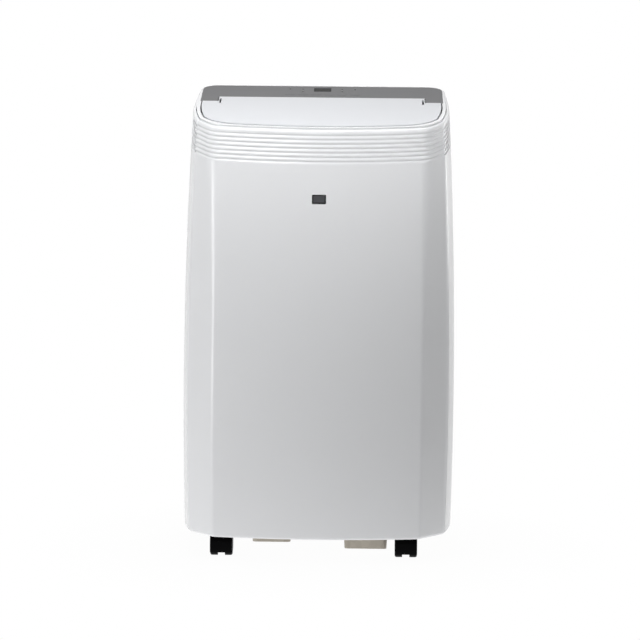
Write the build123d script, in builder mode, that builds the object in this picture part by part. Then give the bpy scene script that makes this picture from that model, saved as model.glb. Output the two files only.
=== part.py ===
from build123d import *
import math
import os

os.makedirs("parts", exist_ok=True)

# Body outline at its widest level, front towards -Y, millimetres
body_front = -177.5
body_back = 167.5
body_half_width = 220
bow_radius = 760
crease_x = 167
crease_flare = 21
flare_start = 400
flare_span = 390
seam_x = 208
seam_depth = 70
apex_depth = 174
rear_x = 213
seam_corner_radius = 34
rear_corner_radius = 45
wall = 3
skirt_bottom = 39.6
bulge_radius = 7900
bulge_height = 255
section_heights = (skirt_bottom, 190, 400, 600, 790)
crease_radii = (12, 12, 13, 33, 58)
seam_gap = 1
seam_lag = 3

# Sloping roof: rises towards the back, then falls to the rear wall
roof_slope = 11
rim_y = -165
rim_height = 689
roof_break_y = 140
roof_fall = 50
roof_ridge_radius = 45
rim_radius = 4
rim_crease_radius = 42
opening_crease_radius = 80
opening_seam_radius = 45
skirt_radius = 6
seam_edge_radius = 2

# Grooves round the front, the corners and the sides
groove_count = 7
groove_first = 8.7
groove_pitch = 6.8
groove_radius = 2.4
groove_lift = 0.8
groove_end_y = 95
groove_corner_radius = 38
groove_overrun = 12

# Top openings, measured inwards from the rim and along the slope
opening_inset = 4.6
ring_inset = 5.5
ring_width = 5.5
ring_height = 3
flap_gap = 2
frame_back = 300
frame_corner_radius = 26
opening_gap = 0.9
skirt_wall = 2.2
frame_depth = 28
floor_thickness = 2
ledge_drop = 2.5
duct_half_width = 150
duct_front = 48
duct_back = 186
duct_wall = 2

# Flap, with its hinge line under the control panel's ears
plate_thickness = 3
flap_rise = 1.2
hinge_along = 192
hinge_depth = 8
tongue_half_width = 167
tongue_back = 210
lobe_back = 179
slit_front = 165
slit_back = 198
slit_width = 2.8
slit_x = 164.3
barrel_radius = 4.2
barrel_length = 16
pin_radius = 2
pin_length = 11
pin_clearance = 0.05

# Control panel, display and keys
panel_half_width = 196.5
panel_front = 212.8
panel_back = 297
panel_corner_radius = 25
panel_fit = 0.4
panel_thickness = 2.5
ear_front = 181
ear_inner = 168.2
boss_length = 8
lens_width = 28.4
lens_depth = 26
lens_along = 271.3
lens_thickness = 1.8
lens_fit = 0.15
key_pitch = 21.3
key_along = 238
key_width = 15
key_depth = 9
key_fit = 0.3
key_proud = 0.2
key_travel = 0.5
key_lip = 1.4
lamp_radius = 1.2
lamp_length = 8
lamp_fit = 0.15
lamp_spots = ((-53.3, 276), (-32.3, 275.5), (-32.3, 260), (32.3, 275.5), (32.3, 260), (53.3, 276))
board_drop = 12.5
board_thickness = 1.6
post_radius = 3

# Receiver window in the front panel
window_width = 22
window_height = 14.7
window_z = 581
window_fit = 0.15
window_lip = 2

# Base pan and the space under it
pan_level = 52
pan_thickness = 2
pan_height = 20
pan_fit = 0.4
well_draft = 4
well_rim = 3
right_well = (45, 113, -72, 4, 9)
left_well = (-106, -44, -14, 56, 8)
socket_radius = 9
socket_height = 26
stem_radius = 5.5
stem_length = 22
stem_fit = 0.05

# Twin-wheel casters
caster_left_x = -153
caster_right_x = 144
caster_front_y = -104
caster_rear_y = 131
caster_trail = 12
wheel_radius = 20
wheel_width = 12
wheel_fit = 0.05
wheel_cap = 1.6
web_width = 11
hood_gap = 0.8
hood_reach = 13
hood_wall = 1.9
side_gap = 0.4
axle_radius = 3
collar_radius = 8
swivel_gap = 0.3

# Rear wall: intake grilles, hose collar, drains, cord gland and screws
upper_grille_x = 0
upper_grille_z = 547
upper_grille_size = (300, 190)
lower_grille_x = -22
lower_grille_z = 162
lower_grille_size = (256, 150)
grille_fit = 0.4
grille_lip = 6
grille_lip_thickness = 1.5
grille_depth = 6
slot_height = 6
slot_pitch = 10
filter_thickness = 3
hose_z = 345
hose_radius = 72.5
collar_wall = 2
collar_front = 146
collar_back = 177.5
collar_flange_radius = 92
collar_flange_thickness = 3.5
hose_fit = 0.5
drain_radius = 7
drain_bore = 4.5
drain_end = 174
drain_cap_wall = 3
drain_fit = 0.1
upper_drain_x = 130
lower_drain_x = -100
gland_x = 140
gland_z = 150
gland_radius = 8
gland_bore = 4
screw_x = 155
screw_radius = 1.75
screw_head_radius = 3.6
screw_fit = 0.05

# Side hand grips
grip_y = 62
grip_z = 590
grip_length = 100
grip_height = 36
grip_reach = 30
grip_wall = 2.5

# Mid deck between the two air circuits
deck_level = 428
deck_thickness = 3
deck_rim = 15
deck_fit = 0.7
leg_size = 16
front_leg = (150, -135)
rear_leg = (188, 136)

# Lower circuit: compressor, condenser and exhaust blower
compressor_x = -118
compressor_y = -50
compressor_radius = 55
compressor_bottom = 70
compressor_height = 210
foot_reach = 74
foot_thickness = 3
grommet_radius = 10
grommet_height = 14
pot_radius = 24
pot_offset = 84
pot_turn = 130
pot_bottom = 110
pot_height = 150
condenser_x = (-150, 178)
condenser_y = (80, 116)
condenser_height = 206
lower_fan_x = 75
lower_fan_z = 172
lower_fan_radius = 84
lower_fan_width = 58
lower_scroll_y = (5, 77)
lower_scroll_radius = 104
exhaust_half_width = 97
exhaust_bottom = 264
exhaust_back = 150

# Upper circuit: evaporator and supply blower
evaporator_x = (-165, 165)
evaporator_y = (92, 127)
evaporator_height = 205
upper_fan_x = -20
upper_fan_z = 538
upper_fan_radius = 86
upper_fan_width = 70
upper_scroll_y = (-70, 20)
upper_scroll_radius = 104
upper_scroll_top = 646

# Parts shared by the two blowers
scroll_wall = 2.5
hub_radius = 12
shaft_radius = 4
shaft_fit = 0.03
fan_gap = 6
motor_radius = 45
motor_length = 55
blade_count = 36
blade_depth = 10
blade_thickness = 1.2

# Electrical box, flap motor and pipes
box_x = (112, 178)
box_y = (-104, -24)
box_height = 150
box_wall = 1.5
drive_radius = 12
drive_length = 15
drive_shaft_radius = 1.4
pipe_radius = 4
pipe_bend = 20

# Derived places on the outline
seam_y = body_front + seam_depth
apex_y = body_front + apex_depth
split_y = seam_y + seam_lag
slope = math.radians(roof_slope)
roof_up = (0, -math.sin(slope), math.cos(slope))
roof_plane = Plane(origin=(0, rim_y, rim_height), x_dir=(1, 0, 0), z_dir=roof_up)
cap_level = ring_height
flap_level = ring_height + flap_rise
hinge_level = cap_level - hinge_depth
panel_under = cap_level - panel_thickness
lower_port_z = pan_level + pan_height / 2
upper_port_z = deck_level + deck_rim / 2
flap_inset = ring_inset + ring_width + flap_gap


def bulge(height):
    return (height - bulge_height) ** 2 / (2 * bulge_radius)


def crease_place(height):
    # The crease runs outwards towards the roof
    share = max(0, (height - flare_start) / flare_span)
    x = crease_x + crease_flare * share**1.5
    return Vector(x, body_front + bow_radius - math.sqrt(bow_radius**2 - x**2))


def roof_height(y):
    return rim_height + (y - rim_y) * math.tan(slope)


def arc_meeting(start, along, centre, radius):
    # Distance along a line to the nearer crossing with a circle
    gap = start - centre
    half = gap.dot(along)
    root = math.sqrt(half**2 - gap.dot(gap) + radius**2)
    return min((-half + root, -half - root), key=abs)


def side_radius(end_x, end_y):
    # Radius of a side arc that is square to the width at the apex
    drop_in = body_half_width - end_x
    return (drop_in**2 + (end_y - apex_y) ** 2) / (2 * drop_in)


def plan_points(crease, inset, back):
    # Right half of the outline moved inwards: bow middle, crease, seam, side, apex, side, rear
    seam = Vector(seam_x, seam_y)
    along = (seam - crease).normalized()
    start = crease - Vector(along.Y, -along.X) * inset
    end = seam - Vector(along.Y, -along.X) * inset
    front_side = side_radius(seam_x, seam_y)
    rear_side = side_radius(rear_x, back)
    bow_centre = Vector(0, body_front + bow_radius)
    side_centre = Vector(body_half_width - front_side, apex_y)
    crease_in = start + along * arc_meeting(start, along, bow_centre, bow_radius - inset)
    seam_in = end + along * arc_meeting(end, along, side_centre, front_side - inset)
    front_mid = (seam_in.Y + apex_y) / 2
    rear_mid = (apex_y + back) / 2
    front_mid_x = side_centre.X + math.sqrt((front_side - inset) ** 2 - (front_mid - apex_y) ** 2)
    rear_centre_x = body_half_width - rear_side
    rear_mid_x = rear_centre_x + math.sqrt((rear_side - inset) ** 2 - (rear_mid - apex_y) ** 2)
    rear_end_x = rear_centre_x + math.sqrt((rear_side - inset) ** 2 - (back - apex_y) ** 2)
    return (
        Vector(0, body_front + inset),
        crease_in,
        seam_in,
        Vector(front_mid_x, front_mid),
        Vector(body_half_width - inset, apex_y),
        Vector(rear_mid_x, rear_mid),
        Vector(rear_end_x, back),
    )


def outline(points, crease_fillet, seam_fillet, rear_fillet):
    bow, crease, seam, front_side, apex, rear_side, rear = points
    with BuildSketch() as shape:
        with BuildLine() as half:
            ThreePointArc((-crease.X, crease.Y), bow, crease)
            Line(crease, seam)
            ThreePointArc(seam, front_side, apex)
            ThreePointArc(apex, rear_side, rear)
            Line(rear, (-rear.X, rear.Y))
            mirror(half.edges()[1:4], about=Plane.YZ)
        make_face()
        fillet(shape.vertices().group_by(Axis.Y)[-1], rear_fillet)
        fillet(shape.vertices().group_by(Axis.Y)[1], seam_fillet)
        fillet(shape.vertices().group_by(Axis.Y)[0], crease_fillet)
    return shape.sketch


def level_outline(height, crease_radius, skin):
    # Body outline at one height, moved inwards by a skin thickness
    inset = bulge(height) + skin
    points = plan_points(crease_place(height), inset, body_back - skin)
    seam_fillet = seam_corner_radius - inset
    return outline(points, crease_radius - inset / 2, seam_fillet, rear_corner_radius - inset)


def sloped_points(drop, inset):
    # Points of the outline on a plane that slopes like the roof, a set drop below the rim
    points = []
    for index, point in enumerate(plan_points(crease_place(rim_height), 0, body_back)):
        height = roof_height(point.Y) - drop
        moved = plan_points(crease_place(height), bulge(height) + inset, body_back)[index]
        points.append(Vector(moved.X, (moved.Y - rim_y) / math.cos(slope)))
    return points


def roof_outline(inset, crease_radius, seam_radius):
    # Rim outline on the sloping roof, moved inwards
    points = sloped_points(0, inset)
    return outline(points, crease_radius - inset, seam_radius - inset, frame_corner_radius)


def frame_outline(inset, back, crease_radius=rim_crease_radius, seam_radius=seam_corner_radius):
    # Outline of a top opening, closed by a straight rear edge
    with BuildSketch() as shape:
        add(roof_outline(inset, crease_radius, seam_radius))
        size = 4 * body_half_width
        with Locations((0, back)):
            Rectangle(size, size, align=(Align.CENTER, Align.MAX), mode=Mode.INTERSECT)
        fillet(shape.vertices().group_by(Axis.Y)[-1], frame_corner_radius)
    return shape.sketch


def flap_outline(inset, back):
    # The same outline with the wide, soft front corners of the flap
    return frame_outline(inset, back, opening_crease_radius, opening_seam_radius)


def body_solid(skin):
    sections = []
    for height, crease_radius in zip(section_heights, crease_radii):
        with BuildSketch(Plane.XY.offset(height)) as level:
            add(level_outline(height, crease_radius, skin))
        sections.append(level.sketch.faces()[0])
    with BuildPart() as solid:
        loft(sections)
    return solid.part


def under_roof(drop):
    # Everything below the roof line, lowered by a drop
    ridge = roof_height(roof_break_y) - drop
    with BuildPart() as block:
        with BuildSketch(Plane.YZ) as profile:
            with BuildLine():
                Polyline(
                    (-300, 0),
                    (-300, roof_height(-300) - drop),
                    (roof_break_y, ridge),
                    (300, ridge - (300 - roof_break_y) * math.tan(math.radians(roof_fall))),
                    (300, 0),
                    close=True,
                )
            make_face()
            fillet(profile.vertices().sort_by(Axis.Y)[-1], roof_ridge_radius)
        extrude(amount=300, both=True)
    return block.part


def roof_block(sketch, bottom, top):
    # A sketch on the roof plane raised between two levels
    with BuildPart() as block:
        with BuildSketch(roof_plane.offset(bottom)):
            add(sketch)
        extrude(amount=top - bottom)
    return block.part


def box_between(x_range, y_range, z_range):
    with BuildPart() as block:
        with BuildSketch(Plane.XY.offset(z_range[0])):
            with Locations(((x_range[0] + x_range[1]) / 2, (y_range[0] + y_range[1]) / 2)):
                Rectangle(x_range[1] - x_range[0], y_range[1] - y_range[0])
        extrude(amount=z_range[1] - z_range[0])
    return block.part


def rod_along_y(x, z, radius, start, end):
    with BuildPart() as rod:
        with BuildSketch(Plane.XZ.offset(-start)):
            with Locations((x, z)):
                Circle(radius)
        extrude(amount=start - end)
    return rod.part


def rod_along_x(y, z, radius, start, end):
    with BuildPart() as rod:
        with BuildSketch(Plane.YZ.offset(start)):
            with Locations((y, z)):
                Circle(radius)
        extrude(amount=end - start)
    return rod.part


def rod_along_z(x, y, radius, bottom, top):
    with BuildPart() as rod:
        with BuildSketch(Plane.XY.offset(bottom)):
            with Locations((x, y)):
                Circle(radius)
        extrude(amount=top - bottom)
    return rod.part


def save(part, name):
    part.label = name
    export_step(part, f"parts/{name}.step")


# Body: outer form under the roof with a rounded rim, and its cavity
outer = body_solid(0)
cavity = body_solid(wall)
with BuildPart() as body:
    add(outer)
    add(under_roof(0), mode=Mode.INTERSECT)
    roof_faces = body.faces().filter_by(lambda face: face.normal_at().Z > 0.3)
    fillet(roof_faces.edges().filter_by(Axis.X, reverse=True), rim_radius)
    fillet(body.faces().sort_by(Axis.Z)[0].edges(), skirt_radius)
with BuildPart() as hollow:
    add(cavity)
    add(under_roof(wall), mode=Mode.INTERSECT)
    add(roof_block(frame_outline(opening_inset, frame_back + opening_gap), -60, 60))


# Grooves follow the body's surface a set drop below the rim
def groove(path):
    with BuildPart() as tube:
        with BuildSketch(Plane(path @ 0, z_dir=path % 0)):
            Circle(groove_radius)
        sweep(path=path)
    return tube.part


def side_point(y, drop, side):
    height = roof_height(y) - drop
    radius = side_radius(seam_x, seam_y) if y < apex_y else side_radius(rear_x, body_back)
    reach = radius - bulge(height) + groove_lift
    x = body_half_width - radius + math.sqrt(reach**2 - (y - apex_y) ** 2)
    return Vector(side * x, y, height)


front_grooves = []
side_grooves = []
for number in range(groove_count):
    drop = groove_first + groove_pitch * number
    bow, crease, seam = sloped_points(drop, -groove_lift)[:3]
    beyond = seam + (seam - crease).normalized() * groove_overrun
    with BuildLine(Plane(origin=(0, rim_y, rim_height - drop), x_dir=(1, 0, 0), z_dir=roof_up)) as path:
        ThreePointArc((-crease.X, crease.Y), (0, bow.Y), (crease.X, crease.Y))
        for side in (1, -1):
            Line((side * crease.X, crease.Y), (side * beyond.X, beyond.Y))
        fillet(path.vertices().group_by(Axis.Y)[0], groove_corner_radius)
    front_grooves.append(groove(path.wires()[0]))
    for side in (1, -1):
        along_side = [side_point(y, drop, side) for y in (split_y - 25, apex_y, groove_end_y)]
        side_grooves.append(groove(ThreePointArc(*along_side)))

# Front panel: bowed face and corners in one moulding, with the receiver opening
with BuildPart() as front_panel:
    add(body.part)
    split(bisect_by=Plane.XZ.offset(-(split_y - seam_gap / 2)), keep=Keep.TOP)
    add(hollow.part, clean=False, mode=Mode.SUBTRACT)
    add(front_grooves, clean=False, mode=Mode.SUBTRACT)
    with BuildSketch(Plane.XZ.offset(-body_front)):
        with Locations((0, window_z)):
            RectangleRounded(window_width + 2 * window_fit, window_height + 2 * window_fit, 1.5)
    extrude(amount=-40, clean=False, mode=Mode.SUBTRACT)
save(front_panel.part, "front_panel")

# Receiver window: dark lens with a lip behind the panel's wall
window_face = body_front + bulge(window_z)
with BuildPart() as receiver_window:
    with BuildSketch(Plane.XZ.offset(-window_face)):
        with Locations((0, window_z)):
            RectangleRounded(window_width, window_height, 1.4)
    extrude(amount=-(wall + 2))
    with BuildSketch(Plane.XZ.offset(-(window_face + wall + 0.8))):
        with Locations((0, window_z)):
            RectangleRounded(window_width + 2 * window_lip, window_height + 2 * window_lip, 2)
    extrude(amount=-1.5)
save(receiver_window.part, "receiver_window")

# Rear casing: sides, back and rear shoulder, with grilles, ports and hand grips
with BuildPart() as rear_casing:
    add(body.part)
    split(bisect_by=Plane.XZ.offset(-(split_y + seam_gap / 2)), keep=Keep.BOTTOM)
    front_edges = rear_casing.faces().sort_by(Axis.Y)[0].edges()
    fillet(front_edges.filter_by(lambda edge: edge.length > rim_height / 2), seam_edge_radius)
    add(hollow.part, clean=False, mode=Mode.SUBTRACT)
    with BuildSketch(Plane.XZ.offset(-body_back)):
        for x, z, size in (
            (upper_grille_x, upper_grille_z, upper_grille_size),
            (lower_grille_x, lower_grille_z, lower_grille_size),
        ):
            with Locations((x, z)):
                Rectangle(size[0] + 2 * grille_fit, size[1] + 2 * grille_fit)
        for x, z, radius in (
            (0, hose_z, hose_radius + collar_wall + hose_fit),
            (upper_drain_x, upper_port_z, drain_radius + hose_fit),
            (lower_drain_x, lower_port_z, drain_radius + hose_fit),
            (gland_x, gland_z, gland_radius + hose_fit),
            (screw_x, lower_port_z, screw_radius + screw_fit),
            (-screw_x, lower_port_z, screw_radius + screw_fit),
            (screw_x, upper_port_z, screw_radius + screw_fit),
            (-screw_x, upper_port_z, screw_radius + screw_fit),
        ):
            with Locations((x, z)):
                Circle(radius)
    extrude(amount=3 * wall, both=True, clean=False, mode=Mode.SUBTRACT)
    grip_outer = body_half_width - bulge(grip_z)
    for side in (1, -1):
        with BuildSketch(Plane.YZ.offset(side * (grip_outer - grip_reach - grip_wall))):
            with Locations((grip_y, grip_z)):
                RectangleRounded(grip_length + 2 * grip_wall, grip_height + 2 * grip_wall, 12)
        extrude(amount=side * (grip_reach + grip_wall - wall - 1), clean=False)
        with BuildSketch(Plane.YZ.offset(side * (grip_outer - grip_reach))):
            with Locations((grip_y, grip_z)):
                RectangleRounded(grip_length, grip_height, 10)
        extrude(amount=side * (grip_reach + 20), clean=False, mode=Mode.SUBTRACT)
    add(side_grooves, clean=False, mode=Mode.SUBTRACT)
save(rear_casing.part, "rear_casing")

# Top frame: raised ring, skirt, floor and outlet funnel in one moulding
duct_middle = (duct_front + duct_back) / 2
with BuildPart() as funnel:
    with BuildSketch(Plane.XY.offset(upper_scroll_top)):
        with Locations((upper_fan_x, (upper_scroll_y[0] + upper_scroll_y[1]) / 2)):
            Rectangle(2 * upper_scroll_radius, upper_scroll_y[1] - upper_scroll_y[0])
    with BuildSketch(roof_plane.offset(-frame_depth)):
        with Locations((0, duct_middle)):
            Rectangle(2 * duct_half_width + 2 * duct_wall, duct_back - duct_front + 2 * duct_wall)
    loft(ruled=True)
with BuildPart() as funnel_hole:
    with BuildSketch(Plane.XY.offset(upper_scroll_top)):
        with Locations((upper_fan_x, (upper_scroll_y[0] + upper_scroll_y[1]) / 2)):
            Rectangle(
                2 * upper_scroll_radius - 2 * scroll_wall,
                upper_scroll_y[1] - upper_scroll_y[0] - 2 * scroll_wall,
            )
    with BuildSketch(roof_plane.offset(-frame_depth)):
        with Locations((0, duct_middle)):
            Rectangle(2 * duct_half_width, duct_back - duct_front)
    loft(ruled=True)
with BuildPart() as top_frame:
    add(roof_block(frame_outline(ring_inset, frame_back), -frame_depth, ring_height))
    ring_hole = flap_outline(ring_inset + ring_width, frame_back - ring_width)
    skirt_hole = frame_outline(ring_inset + skirt_wall, frame_back - skirt_wall)
    add(roof_block(ring_hole, -ledge_drop, ring_height + 1), mode=Mode.SUBTRACT)
    add(roof_block(skirt_hole, floor_thickness - frame_depth, 0.01 - ledge_drop), mode=Mode.SUBTRACT)
    with BuildSketch(roof_plane.offset(panel_under)) as seat:
        with Locations((0, panel_back + panel_fit)):
            Rectangle(
                2 * (panel_half_width + panel_fit),
                panel_back - ear_front + 2 * panel_fit,
                align=(Align.CENTER, Align.MAX),
            )
        fillet(seat.vertices().group_by(Axis.Y)[-1], panel_corner_radius + panel_fit)
    extrude(amount=10, mode=Mode.SUBTRACT)
    with BuildSketch(roof_plane.offset(-frame_depth)):
        with Locations((0, duct_middle)):
            Rectangle(2 * duct_half_width, duct_back - duct_front)
    extrude(amount=floor_thickness, mode=Mode.SUBTRACT)
    add(funnel.part)
    add(funnel_hole.part, mode=Mode.SUBTRACT)
save(top_frame.part, "top_frame")

# Flap: plate with lobes in front of the ears and a tongue between them, hinge barrels below
hinge_plane = roof_plane.offset(hinge_level)
with BuildPart() as louver_flap:
    with BuildSketch(roof_plane.offset(flap_level - plate_thickness)):
        add(flap_outline(flap_inset, lobe_back + frame_corner_radius))
        with Locations((0, lobe_back)):
            Rectangle(3 * body_half_width, 200, align=(Align.CENTER, Align.MIN), mode=Mode.SUBTRACT)
        with Locations((0, tongue_back)):
            Rectangle(2 * tongue_half_width, 60, align=(Align.CENTER, Align.MAX))
        with GridLocations(2 * slit_x, 1, 2, 1):
            with Locations((0, (slit_front + slit_back) / 2)):
                RectangleRounded(slit_width, slit_back - slit_front, 1.3, mode=Mode.SUBTRACT)
    extrude(amount=plate_thickness)
    for side in (1, -1):
        inner = side * (slit_x - slit_width - barrel_length)
        with BuildSketch(Plane.YZ.offset(inner)) as barrel:
            axis_point = hinge_plane.from_local_coords(Vector(0, hinge_along, 0))
            with Locations((axis_point.Y, axis_point.Z)):
                Circle(barrel_radius)
        extrude(amount=side * barrel_length)
        with BuildSketch(hinge_plane):
            with Locations((inner + side * barrel_length / 2, hinge_along)):
                Rectangle(barrel_length, 2 * barrel_radius)
        extrude(amount=flap_level - hinge_level - plate_thickness / 2)
        with BuildSketch(Plane.YZ.offset(inner + side * barrel_length)):
            with Locations((axis_point.Y, axis_point.Z)):
                Circle(pin_radius)
        extrude(amount=side * (tongue_half_width - slit_x + slit_width + pin_length))
    socket_start = tongue_half_width + pin_length - 6
    with BuildSketch(Plane.YZ.offset(socket_start)):
        with Locations((axis_point.Y, axis_point.Z)):
            Rectangle(2 * 0.8, 2 * drive_shaft_radius, rotation=roof_slope)
    extrude(amount=10, mode=Mode.SUBTRACT)
save(louver_flap.part, "louver_flap")

# Control panel: grey plate with two forward ears that carry the hinge bosses
with BuildPart() as control_panel:
    with BuildSketch(roof_plane.offset(panel_under)) as plate:
        with Locations((0, panel_back)):
            Rectangle(2 * panel_half_width, panel_back - ear_front, align=(Align.CENTER, Align.MAX))
        fillet(plate.vertices().group_by(Axis.Y)[-1], panel_corner_radius)
        with Locations((0, panel_front)):
            Rectangle(2 * ear_inner, 60, align=(Align.CENTER, Align.MAX), mode=Mode.SUBTRACT)
    extrude(amount=panel_thickness)
    for side in (1, -1):
        with BuildSketch(roof_plane.offset(panel_under)):
            with Locations((side * (ear_inner + boss_length / 2), hinge_along)):
                Rectangle(boss_length, 12)
        extrude(amount=-(hinge_depth + 3))
        with BuildSketch(Plane.YZ.offset(side * (ear_inner - 1))):
            with Locations((axis_point.Y, axis_point.Z)):
                Circle(pin_radius + pin_clearance)
        extrude(amount=side * (boss_length + 2), mode=Mode.SUBTRACT)
    with BuildSketch(roof_plane.offset(cap_level - lens_thickness)):
        with Locations((0, lens_along)):
            RectangleRounded(lens_width + 2 * lens_fit, lens_depth + 2 * lens_fit, 1.5)
    extrude(amount=10, mode=Mode.SUBTRACT)
    with BuildSketch(roof_plane.offset(panel_under)):
        with Locations((0, lens_along)):
            Rectangle(lens_width - 4, lens_depth - 6)
    extrude(amount=10, mode=Mode.SUBTRACT)
    with BuildSketch(roof_plane.offset(panel_under)):
        with Locations((0, key_along)):
            with GridLocations(key_pitch, 1, 6, 1):
                RectangleRounded(key_width + 2 * key_fit, key_depth + 2 * key_fit, 2 + key_fit)
        with Locations(lamp_spots):
            RectangleRounded(2 * (lamp_radius + lamp_fit), lamp_length + 2 * lamp_fit, lamp_radius)
    extrude(amount=10, mode=Mode.SUBTRACT)
    with BuildSketch(roof_plane.offset(panel_under)):
        with Locations((-70, 224), (70, 224), (-70, 288), (70, 288)):
            Circle(post_radius)
    extrude(amount=-(board_drop - panel_thickness))
save(control_panel.part, "control_panel")

# Display lens, sunk flush in the panel
with BuildPart() as display_lens:
    with BuildSketch(roof_plane.offset(cap_level - lens_thickness)):
        with Locations((0, lens_along)):
            RectangleRounded(lens_width, lens_depth, 1.4)
    extrude(amount=lens_thickness)
save(display_lens.part, "display_lens")

# Keys: cap through the panel, retaining lip below it and a stem to its switch
for number in range(6):
    key_x = (number - 2.5) * key_pitch
    with BuildPart() as key:
        with BuildSketch(roof_plane.offset(panel_under)):
            with Locations((key_x, key_along)):
                RectangleRounded(key_width, key_depth, 2)
        extrude(amount=panel_thickness + key_proud)
        with BuildSketch(roof_plane.offset(panel_under)):
            with Locations((key_x, key_along)):
                RectangleRounded(key_width + 2 * key_lip, key_depth + 2 * key_lip, 2)
        extrude(amount=-1.2)
        with BuildSketch(roof_plane.offset(panel_under)):
            with Locations((key_x, key_along)):
                Circle(2)
        extrude(amount=-(board_drop - panel_thickness - key_travel - 0.2))
    save(key.part, f"key_{number + 1}")

# Light guide: lamp pins joined by a strip under the panel
with BuildPart() as light_guide:
    with BuildSketch(roof_plane.offset(panel_under)):
        with Locations((0, 272)):
            Rectangle(116, 36)
        with Locations((0, 268)):
            Rectangle(32, 36, mode=Mode.SUBTRACT)
    extrude(amount=-2)
    with BuildSketch(roof_plane.offset(panel_under)):
        with Locations(lamp_spots):
            RectangleRounded(2 * lamp_radius, lamp_length, lamp_radius - lamp_fit)
    extrude(amount=panel_thickness - 0.1)
save(light_guide.part, "light_guide")

# Display board, screwed to the panel's posts
with BuildPart() as display_board:
    with BuildSketch(roof_plane.offset(cap_level - board_drop - board_thickness)):
        with Locations((0, 256)):
            Rectangle(156, 76)
    extrude(amount=board_thickness)
save(display_board.part, "display_board")

# Flap motor: geared stepper with an offset shaft, on the right-hand boss
drive_start = ear_inner + boss_length
with BuildPart() as louver_motor:
    with BuildSketch(Plane.YZ.offset(drive_start)):
        with Locations((axis_point.Y, axis_point.Z)):
            with Locations(Location((0, 0), roof_slope)):
                with Locations((0, -8)):
                    Circle(drive_radius)
                Circle(5)
                with Locations((0, -8)):
                    Rectangle(10, 16)
    extrude(amount=drive_length)
    with BuildSketch(Plane.YZ.offset(drive_start)):
        with Locations((axis_point.Y, axis_point.Z)):
            Circle(pin_radius + 0.5)
    extrude(amount=6, mode=Mode.SUBTRACT)
save(louver_motor.part, "louver_motor")

# Flap motor shaft: flat-sided end in the flap's pin, round end in the gearbox
with BuildPart() as louver_shaft:
    with BuildSketch(Plane.YZ.offset(socket_start + 0.3)):
        with Locations((axis_point.Y, axis_point.Z)):
            Rectangle(2 * 0.8 - 0.1, 2 * drive_shaft_radius - 0.1, rotation=roof_slope)
    extrude(amount=drive_start + 2 - socket_start - 0.3)
    with BuildSketch(Plane.YZ.offset(drive_start + 2)):
        with Locations((axis_point.Y, axis_point.Z)):
            Circle(pin_radius + 0.5 - shaft_fit)
    extrude(amount=3.7)
save(louver_shaft.part, "louver_shaft")

# Drip wells: two drawn cups, welded by their rims under openings of the pan
def drip_well(x_low, x_high, y_low, y_high, bottom):
    middle = ((x_low + x_high) / 2, (y_low + y_high) / 2)
    width = x_high - x_low
    length = y_high - y_low
    rim = well_draft + 2 * well_rim
    thick = 2 * pan_thickness
    with BuildPart() as well:
        with BuildSketch(Plane.XY.offset(bottom)):
            with Locations(middle):
                RectangleRounded(width, length, 6)
        with BuildSketch(Plane.XY.offset(pan_level)):
            with Locations(middle):
                RectangleRounded(width + well_draft, length + well_draft, 6)
        loft(ruled=True)
        with BuildSketch(Plane.XY.offset(pan_level - pan_thickness)):
            with Locations(middle):
                RectangleRounded(width + rim, length + rim, 8)
        extrude(amount=pan_thickness)
        with BuildSketch(Plane.XY.offset(bottom + pan_thickness)):
            with Locations(middle):
                Rectangle(width - thick, length - thick)
        with BuildSketch(Plane.XY.offset(pan_level)):
            with Locations(middle):
                Rectangle(width + well_draft - thick, length + well_draft - thick)
        loft(ruled=True, mode=Mode.SUBTRACT)
    return well.part


with BuildPart() as drip_wells:
    add(drip_well(*right_well))
    add(drip_well(*left_well))
save(drip_wells.part, "drip_wells")

# Base pan: drawn steel tray with openings over the wells and four caster sockets
pan_bottom = pan_level + pan_thickness
with BuildPart() as base_pan:
    with BuildSketch(Plane.XY.offset(pan_level)):
        add(level_outline(pan_level, 16, wall + pan_fit))
    extrude(amount=pan_height)
    with BuildSketch(Plane.XY.offset(pan_bottom)):
        add(level_outline(pan_level, 18, wall + pan_fit + pan_thickness))
    extrude(amount=pan_height, mode=Mode.SUBTRACT)
    with BuildSketch(Plane.XY.offset(pan_level)):
        for x_low, x_high, y_low, y_high, bottom in (right_well, left_well):
            with Locations(((x_low + x_high) / 2, (y_low + y_high) / 2)):
                RectangleRounded(x_high - x_low, y_high - y_low, 6)
    extrude(amount=pan_thickness, mode=Mode.SUBTRACT)
    for x in (caster_left_x, caster_right_x):
        for y in (caster_front_y, caster_rear_y):
            with BuildSketch(Plane.XY.offset(pan_level)):
                with Locations((x, y)):
                    Circle(socket_radius)
            extrude(amount=socket_height)
            with BuildSketch(Plane.XY.offset(pan_level)):
                with Locations((x, y)):
                    Circle(stem_radius + stem_fit)
            extrude(amount=stem_length + 2, mode=Mode.SUBTRACT)
    spout_start = body_back - wall - pan_fit - 1
    add(rod_along_y(lower_drain_x, lower_port_z, drain_radius, spout_start, drain_end))
    spout_bore = rod_along_y(lower_drain_x, lower_port_z, drain_bore, body_back - 20, drain_end + 1)
    add(spout_bore, mode=Mode.SUBTRACT)
    for x in (screw_x, -screw_x):
        screw_hole = rod_along_y(x, lower_port_z, screw_radius + screw_fit, body_back - 20, body_back)
        add(screw_hole, mode=Mode.SUBTRACT)
save(base_pan.part, "base_pan")


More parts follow.
